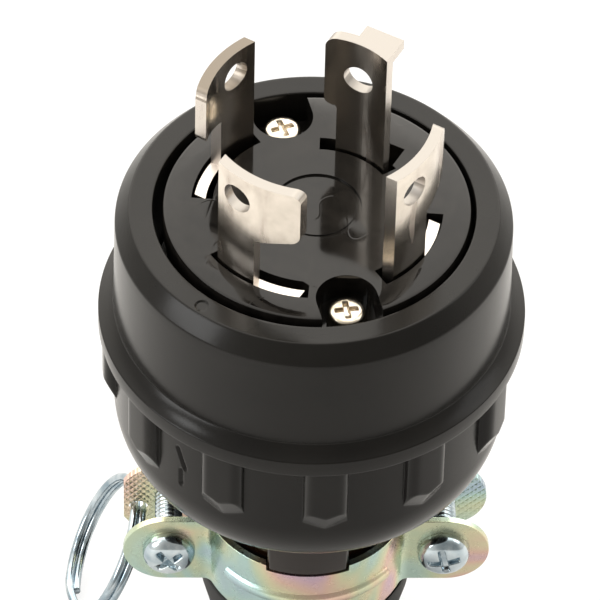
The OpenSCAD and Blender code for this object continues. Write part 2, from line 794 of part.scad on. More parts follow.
module clamp_rear() {
    tap_r = clamp_screw_r + tap_wall;
    color("#b4bfba") difference() {
        union() {
            rotate([0, 0, 180]) mirror([1, 0, 0]) clamp_half(rear_ear_y, lobe_r);
            // Collars drawn from the sheet for the screws' thread
            for (s = [-1, 1]) translate([s * clamp_screw_place, rear_ear_y + tap_h, clamp_mid_z])
                rotate([90, 0, 0]) cylinder(r = tap_r, h = tap_h + sheet_t);
        }
        for (s = [-1, 1]) translate([s * clamp_screw_place, 0, clamp_mid_z]) rotate([90, 0, 0])
            cylinder(r = clamp_screw_r, h = 60, center = true);
        translate([-eye_place, 0, clamp_mid_z - eye_drop]) rotate([90, 0, 0])
            cylinder(r = eye_r, h = 60, center = true);
    }
}

module clamp_screws() {
    len = front_ear_y + rear_ear_y + tap_h + clamp_screw_end;
    color("#c3ccd2") for (s = [-1, 1]) translate([s * clamp_screw_place, -front_ear_y, clamp_mid_z])
        rotate([90, 0, 0]) pan_screw(clamp_screw_r, len, clamp_head_r, clamp_head_h);
}

// ---- Split ring ----

// Two turns of wire side by side, hung in the rear clamp's eye
module split_ring() {
    eye_y = rear_ear_y - sheet_t / 2;
    color("#c5cacd") translate([-eye_place, eye_y, clamp_mid_z - eye_drop]) rotate([0, ring_lean, 0])
        translate([0, 0, -ring_r]) rotate([0, 90, 0]) rotate_extrude()
            for (s = [-1, 1]) translate([ring_r, s * wire_r * 0.92]) circle(wire_r, $fn = 24);
}

body_shell();
rear_cover();
face_insert();
terminal_base();
earth_blade();
blade_x();
blade_y();
blade_z();
line_terminal_screws();
earth_terminal_screw();
line_wire_plates();
earth_wire_plate();
base_screws();
face_screws();
threaded_inserts();
cord_bush();
clamp_front();
clamp_rear();
clamp_screws();
split_ring();
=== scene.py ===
import bmesh
import bpy
import json
import math
import numpy as np
from mathutils import Matrix, Vector


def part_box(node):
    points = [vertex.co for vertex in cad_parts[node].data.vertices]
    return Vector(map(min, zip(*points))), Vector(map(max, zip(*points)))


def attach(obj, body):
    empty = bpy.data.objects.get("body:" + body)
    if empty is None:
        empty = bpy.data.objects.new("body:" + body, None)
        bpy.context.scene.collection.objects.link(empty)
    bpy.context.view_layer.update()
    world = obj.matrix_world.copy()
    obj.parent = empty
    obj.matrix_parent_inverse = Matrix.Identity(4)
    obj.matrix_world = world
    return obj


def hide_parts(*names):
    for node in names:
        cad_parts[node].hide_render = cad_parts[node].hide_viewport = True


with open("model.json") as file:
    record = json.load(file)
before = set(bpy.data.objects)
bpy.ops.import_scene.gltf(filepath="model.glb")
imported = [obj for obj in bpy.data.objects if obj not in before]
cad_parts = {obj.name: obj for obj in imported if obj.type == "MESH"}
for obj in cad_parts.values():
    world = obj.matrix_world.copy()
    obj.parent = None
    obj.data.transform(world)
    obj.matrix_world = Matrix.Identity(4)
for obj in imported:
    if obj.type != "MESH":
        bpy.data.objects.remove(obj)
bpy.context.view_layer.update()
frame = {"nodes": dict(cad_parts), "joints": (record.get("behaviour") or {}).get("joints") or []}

mm = 0.001

# heights and widths that the frame gives; the shell and the cover meet at jointZ
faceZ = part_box("body_shell")[1].z
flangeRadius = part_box("body_shell")[1].x
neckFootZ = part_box("rear_cover")[0].z
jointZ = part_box("rear_cover")[1].z
clampMidZ = sum(corner.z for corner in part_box("clamp_front")) / 2


def toLinear(hexColour):
    # sRGB hex to linear RGBA
    parts = [int(hexColour[i:i + 2], 16) / 255 for i in (1, 3, 5)]
    return (*[c / 12.92 if c <= 0.04045 else ((c + 0.055) / 1.055) ** 2.4 for c in parts], 1.0)


def addNode(owner, kind, inputs=None, output=0, stops=(), **settings):
    # one node, giving back the output asked for; inputs are values, hex colours or other nodes' outputs, by
    # name or number, stops are a ramp's (position, hex colour), and settings are the node's own properties
    node = owner.node_tree.nodes.new(kind)
    for key, value in settings.items():
        setattr(node, key, value)
    for key, value in (inputs or {}).items():
        if isinstance(value, bpy.types.NodeSocket):
            owner.node_tree.links.new(value, node.inputs[key])
        else:
            node.inputs[key].default_value = toLinear(value) if isinstance(value, str) else value
    for i, (position, colour) in enumerate(stops):
        if i == len(node.color_ramp.elements):
            node.color_ramp.elements.new(position)
        node.color_ramp.elements[i].position = position
        node.color_ramp.elements[i].color = toLinear(colour)
    return node.outputs[output] if node.outputs else node


def newMaterial(name):
    # an empty material, with the Object coordinates that its patterns follow
    material = bpy.data.materials.new(name)
    material.use_nodes = True
    material.node_tree.nodes.clear()
    return material, addNode(material, "ShaderNodeTexCoord", output="Object")


def finishMaterial(material, shader):
    addNode(material, "ShaderNodeOutputMaterial", {"Surface": shader})
    return material


def gridPiece(name, grids, material):
    # each grid is (rows, columns, 3), with quads between neighbours and the last column joined to the first;
    # a grid that ends with its first row closes on itself, once doubles are merged
    allPoints, allQuads, count = [], [], 0
    for points in grids:
        rows, columns = points.shape[:2]
        index = np.arange(rows * columns).reshape(rows, columns) + count
        beside = np.roll(index, -1, 1)
        quads = np.stack([index[:-1], beside[:-1], beside[1:], index[1:]], -1)
        allPoints.append(points.reshape(-1, 3))
        allQuads.append(quads.reshape(-1, 4))
        count += rows * columns
    return meshPiece(name, np.concatenate(allPoints), np.concatenate(allQuads), material)


def meshPiece(name, points, faces, material):
    mesh = bpy.data.meshes.new(name)
    mesh.from_pydata(np.asarray(points).tolist(), [], np.asarray(faces).tolist())
    tidy = bmesh.new()
    tidy.from_mesh(mesh)
    bmesh.ops.remove_doubles(tidy, verts=tidy.verts, dist=1e-7)
    bmesh.ops.recalc_face_normals(tidy, faces=tidy.faces)
    tidy.to_mesh(mesh)
    tidy.free()
    mesh.polygons.foreach_set("use_smooth", np.ones(len(mesh.polygons), bool))
    mesh.materials.append(material)
    piece = bpy.data.objects.new(name, mesh)
    bpy.context.scene.collection.objects.link(piece)
    return piece


def filletPath(corners, steps=6):
    # a polyline through (across, up, radius) whose corners become arcs, each tangent to both of its legs
    corners = np.asarray(corners, float)
    corners, radii = corners[:, :2], corners[:, 2]
    path = [corners[:1]]
    for i in range(1, len(corners) - 1):
        back, on = corners[i - 1] - corners[i], corners[i + 1] - corners[i]
        lengthBack, lengthOn = np.linalg.norm(back), np.linalg.norm(on)
        back, on = back / lengthBack, on / lengthOn
        half = math.acos(np.clip(back @ on, -1, 1)) / 2
        if radii[i] <= 0 or half > math.pi / 2 - 0.02:
            path.append(corners[i:i + 1])
            continue
        reach = min(radii[i] / math.tan(half), 0.49 * lengthBack, 0.49 * lengthOn)
        radius = reach * math.tan(half)
        middle = corners[i] + (back + on) / np.linalg.norm(back + on) * radius / math.sin(half)
        start, end = corners[i] + back * reach - middle, corners[i] + on * reach - middle
        turn = math.atan2(start[0] * end[1] - start[1] * end[0], start @ end)
        t = np.linspace(0, turn, steps + 1)
        path.append(middle + np.stack([start[0] * np.cos(t) - start[1] * np.sin(t),
                                       start[0] * np.sin(t) + start[1] * np.cos(t)], 1))
    path.append(corners[-1:])
    return np.concatenate(path)


def denser(path, step):
    # extra points along a polyline, no more than step apart
    pieces = [path[:1]]
    for a, b in zip(path[:-1], path[1:]):
        count = max(1, int(np.ceil(np.linalg.norm(b - a) / step)))
        pieces.append(a + (b - a) * np.linspace(0, 1, count + 1)[1:, None])
    return np.concatenate(pieces)


def turned(profile, angles):
    # each profile point (radius, height) is carried round Z: x = r cos a, y = r sin a, z = height
    r, z = profile[:, :1], profile[:, 1:]
    return np.stack([r * np.cos(angles), r * np.sin(angles), np.broadcast_to(z, (len(r), len(angles)))], -1)


def placed(points, turn, where):
    # points turned about the origin, then moved
    return points @ np.array(turn.to_3x3()).T + np.array(where)


def markCutEdges(mesh):
    # face attribute "cut" = 1 - |n . r|, with n the face's normal and r the way out from Z to its middle, so
    # it is near 0 on a blade's broad faces and near 1 where its sheet was cut; "tip" is 1 on its top edges
    normals, middles = np.empty(len(mesh.polygons) * 3), np.empty(len(mesh.polygons) * 3)
    mesh.polygons.foreach_get("normal", normals)
    mesh.polygons.foreach_get("center", middles)
    normals, middles = normals.reshape(-1, 3), middles.reshape(-1, 3)
    out = middles[:, :2] / np.maximum(np.linalg.norm(middles[:, :2], axis=1, keepdims=True), 1e-9)
    cut = 1 - np.abs((normals[:, :2] * out).sum(1))
    tip = (normals[:, 2] > 0.3) & (middles[:, 2] > faceZ + 5 * mm)
    for name, values in (("cut", cut), ("tip", tip.astype(float))):
        mesh.attributes.new(name, "FLOAT", "FACE").data.foreach_set("value", values)


def finishedCopy(node, material, bevel=0, segments=2, reshape=None):
    # the node's own shape with its machined or moulded edges broken; reshape takes and gives all its corners
    sharp = math.radians(30)
    mesh = bpy.data.meshes.new(node + "Finished")
    tidy = bmesh.new()
    tidy.from_mesh(frame["nodes"][node].data)
    bmesh.ops.remove_doubles(tidy, verts=tidy.verts, dist=2e-6)
    bmesh.ops.dissolve_limit(tidy, angle_limit=math.radians(0.4), verts=tidy.verts, edges=tidy.edges)
    for edge in tidy.edges:
        edge.smooth = len(edge.link_faces) == 2 and edge.calc_face_angle(0) < sharp
    for face in tidy.faces:
        face.smooth = True
    tidy.to_mesh(mesh)
    tidy.free()
    if reshape:
        corners = np.empty(len(mesh.vertices) * 3)
        mesh.vertices.foreach_get("co", corners)
        mesh.vertices.foreach_set("co", reshape(corners.reshape(-1, 3)).ravel())
        mesh.update()
    markCutEdges(mesh)
    mesh.materials.clear()
    mesh.materials.append(material)
    piece = bpy.data.objects.new(node + "Finished", mesh)
    bpy.context.scene.collection.objects.link(piece)
    if bevel:
        edges = piece.modifiers.new("brokenEdges", "BEVEL")
        edges.width = bevel
        edges.segments = segments
        edges.limit_method = "ANGLE"
        edges.angle_limit = sharp
        edges.harden_normals = True
        edges.use_clamp_overlap = True
    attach(piece, "plug")
    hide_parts(node)
    return piece


def satinPhenolic(name, neckTop=None):
    # satin black moulded phenolic: warm near-black with a soft wide sheen, faint cloudiness and a grain drawn
    # coarser than the real one so that it shows; below neckTop it is glossy, so that it mirrors the clamp,
    # and its colour is a darker brown-black: painted shade under the dome and strap, with a painted amber
    # tint of the clamp's reflection
    material, place = newMaterial(name)
    cloud = addNode(material, "ShaderNodeTexNoise", {"Vector": place, "Scale": 1 / (14.3 * mm), "Detail": 5})
    grain = addNode(material, "ShaderNodeTexNoise", {"Vector": place, "Scale": 1 / (0.667 * mm), "Detail": 3})
    colour = addNode(material, "ShaderNodeValToRGB", {"Fac": cloud},
                     stops=[(0.3, "#0f0e0d"), (0.7, "#191816")])
    rough = addNode(material, "ShaderNodeMapRange", {"Value": cloud, "To Min": 0.15, "To Max": 0.27})
    sheen = 0.2
    if neckTop:
        height = addNode(material, "ShaderNodeSeparateXYZ", {0: place}, output="Z")
        above = addNode(material, "ShaderNodeMapRange", {
            "Value": height, "From Min": neckTop - 0.1 * mm, "From Max": neckTop + 0.2 * mm})
        # painted shade and painted amber reflection: below neckTop the colour turns a darker brown-black
        colour = addNode(material, "ShaderNodeMixRGB", {"Fac": above, "Color1": "#170c05", "Color2": colour})
        rough = addNode(material, "ShaderNodeMath", {0: above, 1: rough}, operation="MULTIPLY")
        rough = addNode(material, "ShaderNodeMath", {0: rough, 1: 0.12}, operation="MAXIMUM")
        sheen = addNode(material, "ShaderNodeMapRange", {"Value": above, "To Min": 0.5, "To Max": 0.17})
    bump = addNode(material, "ShaderNodeBump", {"Height": grain, "Strength": 0.2, "Distance": 0.03 * mm})
    return finishMaterial(material, addNode(material, "ShaderNodeBsdfPrincipled", {
        "Base Color": colour, "Roughness": rough, "Specular IOR Level": sheen, "Normal": bump}))


def polishedThermoset():
    # glossy black moulded thermoset: near mirror skin, dulled in handled patches, with hairline scratches
    # where a slow swirl passes its middle value
    material, place = newMaterial("polishedThermoset")
    patch = addNode(material, "ShaderNodeTexNoise", {
        "Vector": place, "Scale": 1 / (4.76 * mm), "Detail": 6, "Distortion": 2})
    swirl = addNode(material, "ShaderNodeTexNoise", {"Vector": place, "Scale": 1 / (16.7 * mm), "Detail": 2})
    line = addNode(material, "ShaderNodeMapRange", {"Value": swirl, "From Min": 0.495, "From Max": 0.505})
    ridge = addNode(material, "ShaderNodeMath", {0: line, 1: 0.5}, operation="PINGPONG")
    colour = addNode(material, "ShaderNodeValToRGB", {"Fac": patch},
                     stops=[(0.35, "#0c0b0a"), (0.7, "#191715")])
    rough = addNode(material, "ShaderNodeMapRange", {"Value": patch, "To Min": 0.02, "To Max": 0.14})
    bump = addNode(material, "ShaderNodeBump", {"Height": ridge, "Strength": 0.5, "Distance": 0.03 * mm})
    return finishMaterial(material, addNode(material, "ShaderNodeBsdfPrincipled", {
        "Base Color": colour, "Roughness": rough, "Specular IOR Level": 0.25, "Normal": bump}))


def nickelPlate(name, low, high, smoothest, roughest, blade=False):
    # bright nickel plate on stamped brass: warm silver, hazy in patches, with rolling lines along the blade,
    # drawn coarser than real ones so that they show; a blade has upright stains of handling and duller cut
    # edges, and its top edges are painted darker towards the back left and upwards as shade
    material, place = newMaterial(name)
    haze = addNode(material, "ShaderNodeTexNoise", {
        "Vector": place, "Scale": 1 / (3.85 * mm), "Detail": 6, "Roughness": 0.62})
    along = addNode(material, "ShaderNodeMapping", {"Vector": place, "Scale": (1, 1, 0.06)})
    streak = addNode(material, "ShaderNodeTexNoise", {
        "Vector": along, "Scale": 1 / (0.455 * mm), "Detail": 3})
    colour = addNode(material, "ShaderNodeValToRGB", {"Fac": haze}, stops=[(0.32, low), (0.6, high)])
    rough = addNode(material, "ShaderNodeMapRange", {"Value": haze, "To Min": roughest, "To Max": smoothest})
    if blade:
        upright = addNode(material, "ShaderNodeMapping", {"Vector": place, "Scale": (1, 1, 0.22)})
        smear = addNode(material, "ShaderNodeTexNoise", {
            "Vector": upright, "Scale": 1 / (3.03 * mm), "Detail": 5, "Distortion": 0.4})
        stain = addNode(material, "ShaderNodeMapRange", {
            "Value": smear, "From Min": 0.50, "From Max": 0.72, "To Max": 0.4})
        # painted shade: the top edges darken towards the back left and upwards, along this direction
        toBack = addNode(material, "ShaderNodeVectorMath", {0: place, 1: (-0.6, 0.6, 0.35)}, output="Value",
                         operation="DOT_PRODUCT")
        backLeftShade = addNode(material, "ShaderNodeMapRange", {
            "Value": toBack, "From Min": 12.5 * mm + 0.35 * faceZ, "From Max": 15 * mm + 0.35 * faceZ})
        cut = addNode(material, "ShaderNodeAttribute", output="Fac", attribute_name="cut")
        tip = addNode(material, "ShaderNodeAttribute", output="Fac", attribute_name="tip")
        top = addNode(material, "ShaderNodeMixRGB", {"Fac": backLeftShade, "Color1": "#928e89", "Color2": "#6e675e"})
        edge = addNode(material, "ShaderNodeMixRGB", {"Fac": tip, "Color1": "#d6cfc8", "Color2": top})
        colour = addNode(material, "ShaderNodeMixRGB", {"Fac": stain, "Color1": colour, "Color2": "#8f7d74"})
        colour = addNode(material, "ShaderNodeMixRGB", {"Fac": cut, "Color1": colour, "Color2": edge})
        dull = addNode(material, "ShaderNodeMath", {0: cut, 1: 0.4}, operation="MULTIPLY")
        for atLeast in (stain, dull):
            rough = addNode(material, "ShaderNodeMath", {0: atLeast, 1: rough}, operation="MAXIMUM")
    bump = addNode(material, "ShaderNodeBump", {"Height": streak, "Strength": 0.25, "Distance": 0.04 * mm})
    return finishMaterial(material, addNode(material, "ShaderNodeBsdfPrincipled", {
        "Base Color": colour, "Metallic": 1, "Roughness": rough, "Normal": bump}))


def passivatedZinc(name, knurled=False):
    # zinc plate with a thin chromate film: silver with drifting blue, green, yellow and pink tints; knurled
    # ears have height = the lesser of |sin(k (x + z))| and |sin(k (x - z))|, so grooves cross as diamonds
    material, place = newMaterial(name)
    drift = addNode(material, "ShaderNodeTexNoise", {
        "Vector": place, "Scale": 1 / (20.8 * mm), "Detail": 2.5, "Distortion": 1.2})
    fine = addNode(material, "ShaderNodeTexNoise", {"Vector": place, "Scale": 1 / (1.43 * mm), "Detail": 5})
    tint = addNode(material, "ShaderNodeValToRGB", {"Fac": drift}, stops=[
        (0.30, "#a9bccb"), (0.38, "#b2cdc8"), (0.45, "#c3d0b4"), (0.51, "#d8d2b0"), (0.57, "#dfbfae"),
        (0.64, "#cfb2c0"), (0.72, "#a9b8c8")])
    rough = addNode(material, "ShaderNodeMapRange", {"Value": fine, "To Min": 0.18, "To Max": 0.34})
    bump = addNode(material, "ShaderNodeBump", {"Height": fine, "Strength": 0.15, "Distance": 0.04 * mm})
    if knurled:
        k = math.pi / (1.1 * mm)
        x = addNode(material, "ShaderNodeSeparateXYZ", {0: place}, output="X")
        z = addNode(material, "ShaderNodeSeparateXYZ", {0: place}, output="Z")
        waves = []
        for slant in ("ADD", "SUBTRACT"):
            wave = addNode(material, "ShaderNodeMath", {0: x, 1: z}, operation=slant)
            wave = addNode(material, "ShaderNodeMath", {0: wave, 1: k}, operation="MULTIPLY")
            wave = addNode(material, "ShaderNodeMath", {0: wave}, operation="SINE")
            waves.append(addNode(material, "ShaderNodeMath", {0: wave}, operation="ABSOLUTE"))
        relief = addNode(material, "ShaderNodeMath", {0: waves[0], 1: waves[1]}, operation="MINIMUM")
        side = addNode(material, "ShaderNodeMath", {0: x}, operation="ABSOLUTE")
        onEar = addNode(material, "ShaderNodeMapRange", {
            "Value": side, "From Min": 16.5 * mm, "From Max": 17.5 * mm})
        relief = addNode(material, "ShaderNodeMath", {0: relief, 1: onEar}, operation="MULTIPLY")
        bump = addNode(material, "ShaderNodeBump", {
            "Height": relief, "Strength": 1, "Distance": 0.09 * mm, "Normal": bump})
    return finishMaterial(material, addNode(material, "ShaderNodeBsdfPrincipled", {
        "Base Color": tint, "Metallic": 1, "Roughness": rough, "Normal": bump}))


def brightZinc(name, low, high):
    # clear-passivated bright zinc: cool silver with small bright and dull patches
    material, place = newMaterial(name)
    patch = addNode(material, "ShaderNodeTexNoise", {"Vector": place, "Scale": 1 / (2.38 * mm), "Detail": 4})
    colour = addNode(material, "ShaderNodeValToRGB", {"Fac": patch}, stops=[(0.3, low), (0.7, high)])
    rough = addNode(material, "ShaderNodeMapRange", {"Value": patch, "To Min": 0.08, "To Max": 0.20})
    return finishMaterial(material, addNode(material, "ShaderNodeBsdfPrincipled", {
        "Base Color": colour, "Metallic": 1, "Roughness": rough}))


def mouldedRubber():
    # black moulded rubber: matt, a little dusty, no clear highlight
    material, place = newMaterial("mouldedRubber")
    dust = addNode(material, "ShaderNodeTexNoise", {"Vector": place, "Scale": 1 / (3.33 * mm), "Detail": 5})
    colour = addNode(material, "ShaderNodeValToRGB", {"Fac": dust},
                     stops=[(0.35, "#141414"), (0.75, "#242424")])
    rough = addNode(material, "ShaderNodeMapRange", {"Value": dust, "To Min": 0.55, "To Max": 0.75})
    bump = addNode(material, "ShaderNodeBump", {"Height": dust, "Strength": 0.3, "Distance": 0.05 * mm})
    return finishMaterial(material, addNode(material, "ShaderNodeBsdfPrincipled", {
        "Base Color": colour, "Roughness": rough, "Normal": bump}))


def plainInner(name, low, high, metallic, roughness):
    # inner pieces: moulded brown thermoset, rolled brass and green dyed plate, each with a little mottling
    material, place = newMaterial(name)
    mottle = addNode(material, "ShaderNodeTexNoise", {"Vector": place, "Scale": 1 / (2.86 * mm), "Detail": 4})
    colour = addNode(material, "ShaderNodeValToRGB", {"Fac": mottle}, stops=[(0.35, low), (0.7, high)])
    return finishMaterial(material, addNode(material, "ShaderNodeBsdfPrincipled", {
        "Base Color": colour, "Metallic": metallic, "Roughness": roughness}))


thermoset = polishedThermoset()
bladeNickel = nickelPlate("bladeNickel", "#cfc6ba", "#e6ddd1", 0.12, 0.26, blade=True)
screwNickel = nickelPlate("screwNickel", "#b0a48f", "#e2dacd", 0.14, 0.28)
clampZinc = passivatedZinc("clampZinc")
earZinc = passivatedZinc("earZinc", knurled=True)
screwZinc = brightZinc("screwZinc", "#9fb0ba", "#dde6ea")
ringZinc = brightZinc("ringZinc", "#8598a4", "#c8d2d8")
rubber = mouldedRubber()
baseThermoset = plainInner("brownThermoset", "#3a2118", "#54301f", 0.0, 0.5)
wireBrass = plainInner("rolledBrass", "#a88442", "#c9a55c", 1.0, 0.32)
greenDye = plainInner("greenDyedPlate", "#1f5a2c", "#2f7a3c", 0.6, 0.35)
print("materials ready")

# markTurn and markSpan are degrees; flareHollow is 0 for a straight flare and 1 for a quarter circle
shell = dict(
    opening=21.0 * mm, face=24.1 * mm, chamferTop=25.95 * mm, chamferHeight=2.4 * mm, foot=26.2 * mm,
    flangeHeight=2.6 * mm, flareHeight=1.5 * mm, flareHollow=0.2, depth=14 * mm, inner=17.6 * mm,
    pocketRound=0.3 * mm, openingRound=0.35 * mm, faceRound=0.5 * mm, chamferRound=0.7 * mm,
    footRound=0.25 * mm, flangeRound=0.35 * mm, spin=420, ringStep=0.14 * mm,
    markTurn=-130, markOut=0.2 * mm, markRadius=0.85 * mm, markDepth=0.2 * mm, markSpan=2.6, markSpin=40)


def bodyShell():
    # closed profile turned round Z: opening wall, face, chamfer, wall, flare, flange edge and underside; the
    # flare lies part of the way from a chord to its quarter circle; the face sinks by a smooth step where it
    # lies nearer to the round mark's centre than its radius
    s = shell
    pocketZ = faceZ - s["depth"]
    flangeTop = jointZ + s["flangeHeight"]
    t = np.radians(np.linspace(90, 0, 10))
    hollow = np.stack([1 - np.sin(t), 1 - np.cos(t)], 1)
    straight = np.stack([1 - t / t[0], t / t[0]], 1)
    bent = s["flareHollow"] * hollow + (1 - s["flareHollow"]) * straight
    flare = (s["foot"], flangeTop) + bent * (flangeRadius - s["foot"], s["flareHeight"])
    flareRounds = [s["footRound"], *[0] * (len(flare) - 2), s["flangeRound"]]
    face = np.arange(s["opening"] + 0.5 * mm, s["face"] - 0.5 * mm, s["ringStep"])
    corners = [
        (s["inner"], jointZ, 0), (s["inner"], pocketZ, 0), (s["opening"], pocketZ, s["pocketRound"]),
        (s["opening"], faceZ, s["openingRound"]), *[(r, faceZ, 0) for r in face],
        (s["face"], faceZ, s["faceRound"]), (s["chamferTop"], faceZ - s["chamferHeight"], s["chamferRound"]),
        *zip(*flare.T, flareRounds), (flangeRadius, jointZ, s["flangeRound"]), (s["inner"], jointZ, 0)]
    profile = denser(filletPath(corners, 5), 1.5 * mm)
    mark = math.radians(s["markTurn"])
    nearMark = mark % (2 * math.pi) + np.radians(np.linspace(-s["markSpan"], s["markSpan"], s["markSpin"]))
    allRound = np.linspace(0, 2 * math.pi, s["spin"], endpoint=False)
    angles = np.unique(np.concatenate([allRound, nearMark]))
    points = turned(profile, angles)
    middle = (s["opening"] + s["face"]) / 2 + s["markOut"]
    away = np.hypot(points[..., 0] - middle * math.cos(mark), points[..., 1] - middle * math.sin(mark))
    sink = np.clip((s["markRadius"] - away) / (0.2 * mm) + 0.5, 0, 1)
    onFace = points[..., 2] > faceZ - 0.001 * mm
    points[..., 2] -= onFace * s["markDepth"] * sink * sink * (3 - 2 * sink)
    return gridPiece("bodyShell", [points], satinPhenolic("shellPhenolic"))


piece = bodyShell()
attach(piece, "plug")
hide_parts("body_shell")
print("body shell done")

# slope and turns are degrees; each of the arrow's strokes runs from one (sideways, down) to another, in
# millimetres from the joint
cover = dict(
    wall=26.2 * mm, straight=13 * mm, roundRadius=12 * mm, slope=41, height=30.3 * mm, thick=2.4 * mm,
    footRound=1.0 * mm, neck=12.6 * mm, neckBore=10.4 * mm, neckRound=0.3 * mm,
    ribs=12, ribTurn=-86.5, ribWide=5.9 * mm, ribRadius=27.7 * mm, ribLong=13.2 * mm, ribPoint=1.4 * mm,
    ribRun=4.2 * mm, ribRound=1.45 * mm,
    keyWide=10.9 * mm, keyRadius=14.0 * mm, keySunk=0.3 * mm, keyRound=0.25 * mm,
    arrowTurn=-131.05, arrowWide=0.42 * mm, arrowDeep=0.45 * mm, arrowSpan=1.3 * mm, arrowSpin=24,
    arrow=(((-0.55, 4.2), (0.68, 7.5)), ((0, 8.2), (0, 10.8))))
coverBottom = jointZ - cover["height"]


def rearCover():
    # radius as a function of angle and height: the wall, arc and cone, and on the outside the ribs, which are
    # flat, round off as a circle and drop to the wall, each with its foot cut by a slanted pointed plane;
    # near an arrow's stroke the radius is less by deep (1 - d / wide), with d the distance from the stroke
    s = cover
    half = s["ribWide"] / 2
    middle = np.array([s["wall"] - s["roundRadius"], jointZ - s["straight"]])
    slope = math.radians(s["slope"])
    t = np.linspace(0, slope, 16)
    arc = middle + s["roundRadius"] * np.stack([np.cos(t), -np.sin(t)], 1)
    heights = jointZ - np.linspace(0, s["straight"] + 1 * mm, 74)[:-1]
    heights = heights[heights > middle[1] + 0.05 * mm]
    outside = np.concatenate([np.stack([np.full(len(heights), s["wall"]), heights], 1), arc])
    footRadius = arc[-1, 0] - (arc[-1, 1] - coverBottom) * math.tan(slope)
    low = filletPath([(*arc[-1], 0), (footRadius, coverBottom, s["footRound"]),
                      (s["neck"], coverBottom, s["neckRound"]), (s["neck"], neckFootZ, 0)], 6)
    innerWall, innerFloor = s["wall"] - s["thick"], coverBottom + s["thick"]
    inside = np.array([
        (s["neckBore"], neckFootZ), (s["neckBore"], innerFloor), (footRadius - 1 * mm, innerFloor),
        (innerWall, jointZ - s["straight"] - 4 * mm), (innerWall, jointZ)])
    profile = np.concatenate([outside, denser(low, 1.2 * mm)[1:], inside])

    pitch = 2 * math.pi / s["ribs"]
    flat = np.linspace(0, half - s["ribRound"], 5)[:-1]
    fine = half - s["ribRound"] + s["ribRound"] * np.sin(np.radians(np.linspace(0, 90, 8)))
    side = half + np.array([0.02, 0.12, 0.3, 0.6]) * mm
    gap = np.linspace(half + 0.6 * mm, pitch * s["wall"] / 2, 8)[1:]
    u = np.concatenate([flat, fine, side, gap])
    u = np.concatenate([-u[:0:-1], u[:-1]])
    first = math.radians(s["ribTurn"])
    arrowAngle = math.radians(s["arrowTurn"])
    nearArrow = arrowAngle + np.linspace(-s["arrowSpan"], s["arrowSpan"], s["arrowSpin"]) / s["wall"]
    nearRibs = [first + k * pitch + u / s["wall"] for k in range(s["ribs"])]
    angles = np.unique(np.concatenate([*nearRibs, nearArrow]) % (2 * math.pi))

    points = turned(profile, angles)
    radius = np.repeat(profile[:, :1], len(angles), 1)
    height = profile[:, 1:]
    out = np.abs((angles - first + pitch / 2) % pitch - pitch / 2)[None, :] * s["wall"]
    over = np.clip((out - (half - s["ribRound"])) / s["ribRound"], 0, 1)
    top = s["ribRadius"] - s["ribRound"] * (1 - np.sqrt(1 - over ** 2))
    foot = jointZ - s["ribLong"] + s["ribPoint"] * out / half
    fall = (s["ribRadius"] - s["wall"] + 0.3 * mm) / s["ribRun"]
    rib = np.minimum(top, s["ribRadius"] - (foot + s["ribRun"] - height) * fall)
    rows = (np.arange(len(profile)) < len(outside))[:, None]
    isRib = rows & (out <= half + 0.001 * mm) & (rib > radius)
    grown = np.where(isRib, rib, radius)

    across = ((angles - arrowAngle + math.pi) % (2 * math.pi) - math.pi)[None, :] * s["wall"]
    down = jointZ - height
    for start, end in np.array(s["arrow"]) * mm:
        (x0, z0), (x1, z1) = start, end
        share = ((across - x0) * (x1 - x0) + (down - z0) * (z1 - z0)) / ((x1 - x0) ** 2 + (z1 - z0) ** 2)
        share = np.clip(share, 0, 1)
        away = np.hypot(across - x0 - share * (x1 - x0), down - z0 - share * (z1 - z0))
        grown = grown - rows * s["arrowDeep"] * np.clip(1 - away / s["arrowWide"], 0, 1)
    points[..., 0] = grown * np.cos(angles)
    points[..., 1] = grown * np.sin(angles)
    closed = np.concatenate([points, points[:1]])
    phenolic = satinPhenolic("coverPhenolic", coverBottom)
    return gridPiece("rearCover", [closed, neckKey(-1), neckKey(1)], phenolic)


def neckKey(side):
    # raised block on the neck that the clamp's notch fits over: a closed section turned through its own angle
    s = cover
    inner, top = s["neck"] - s["keySunk"], coverBottom + s["keySunk"]
    section = filletPath([
        (inner, neckFootZ, 0), (s["keyRadius"], neckFootZ, s["keyRound"]),
        (s["keyRadius"], top, s["keyRound"]), (inner, top, 0), (inner, neckFootZ, 0)], 4)[:-1]
    half = math.asin(s["keyWide"] / 2 / s["keyRadius"])
    block = turned(section, side * math.pi / 2 + np.linspace(-half, half, 24))
    centre = block.mean(0, keepdims=True)
    ends = [block[:, :1] * 0 + centre[:, [i]] for i in (0, -1)]
    return np.concatenate([ends[0], block, ends[1]], 1).transpose(1, 0, 2)


piece = rearCover()
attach(piece, "plug")
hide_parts("rear_cover")
print("rear cover done")

# edge is how wide an edge is broken
insert = dict(slotWall=13.6 * mm, closer=0.6 * mm, edge=0.25 * mm)
blades = dict(shoulder=0.3 * mm, sink=5 * mm, edge=0.16 * mm)
clamp = dict(edge=0.18 * mm, bushEdge=0.3 * mm)


def closerSlots(corners):
    # the inner walls of the line blades' slots, which lie at one radius, move outwards, closer to the blades
    radius = np.hypot(corners[:, 0], corners[:, 1])
    wall = np.abs(radius - insert["slotWall"]) < 0.03 * mm
    corners[:, :2] *= np.where(wall, 1 + insert["closer"] / insert["slotWall"], 1)[:, None]
    return corners


def deeperShoulder(corners):
    # the earth blade's shoulders, which lie at one height, go down out of sight
    corners[:, 2] -= blades["sink"] * (np.abs(corners[:, 2] - faceZ + blades["shoulder"]) < 0.02 * mm)
    return corners


